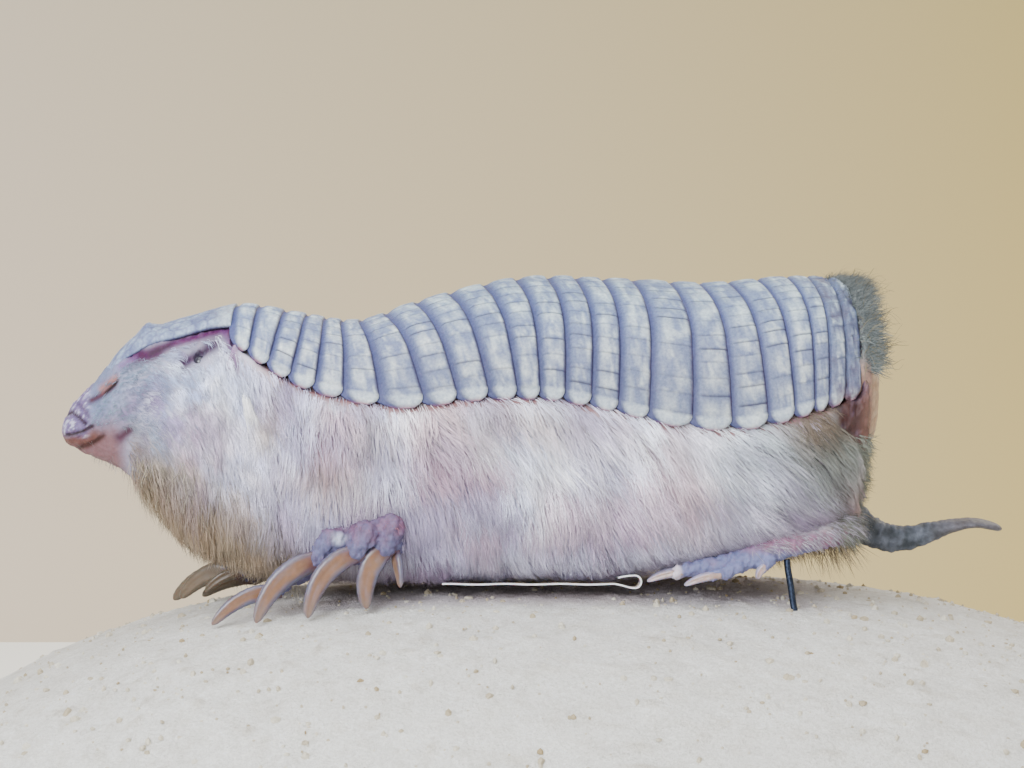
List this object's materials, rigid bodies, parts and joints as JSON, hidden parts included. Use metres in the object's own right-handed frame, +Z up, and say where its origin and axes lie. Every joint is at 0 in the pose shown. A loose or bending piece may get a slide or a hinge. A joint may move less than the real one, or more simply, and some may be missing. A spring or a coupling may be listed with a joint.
{
  "type": "mounted armadillo specimen",
  "caption": "Life-size mounted pink fairy armadillo, banded back shell over long pale fur, digging claws and a slim tail, held by a rod on a domed sand base.",
  "frame": {"origin": "centre of the sand base's flat underside", "axes": "+Z up, the head points along -X and the tail along +X, and the animal's left side faces -Y"},
  "size_m": [0.2, 0.136, 0.078],
  "materials": {
    "coat": "long soft pale fur",
    "skin": "dry wrinkled skin",
    "shell": "satin horny plates",
    "claw": "smooth translucent horn",
    "tail": "dark ringed skin",
    "eye": "dark glossy bead",
    "mound": "fine bonded sand",
    "rod": "dark steel",
    "strip": "thin clear film"
  },
  "bodies": {
    "root": {"mound": "mound", "support_rod": "rod", "support_strip": "strip", "head": "coat", "neck": "coat", "chest": "coat", "belly": "coat", "rump": "coat", "tail": "tail", "eye_left": "eye", "ear_left": "skin", "eye_right": "eye", "ear_right": "skin", "head_shield": "shell", "band_01": "shell", "band_02": "shell", "band_03": "shell", "band_04": "shell", "band_05": "shell", "band_06": "shell", "band_07": "shell", "band_08": "shell", "band_09": "shell", "band_10": "shell", "band_11": "shell", "band_12": "shell", "band_13": "shell", "band_14": "shell", "band_15": "shell", "band_16": "shell", "band_17": "shell", "band_18": "shell", "band_19": "shell", "band_20": "shell", "band_21": "shell", "band_22": "shell", "band_23": "shell", "rump_shield": "shell", "foreclaw_left_1": "claw", "foreclaw_left_2": "claw", "foreclaw_left_3": "claw", "foreclaw_left_4": "claw", "foreclaw_left_5": "claw", "foreleg_left": "skin", "foreclaw_right_1": "claw", "foreclaw_right_2": "claw", "foreclaw_right_3": "claw", "foreclaw_right_4": "claw", "foreclaw_right_5": "claw", "foreleg_right": "skin", "hindleg_left": "skin", "hindleg_right": "skin"}
  },
  "joints": []
}
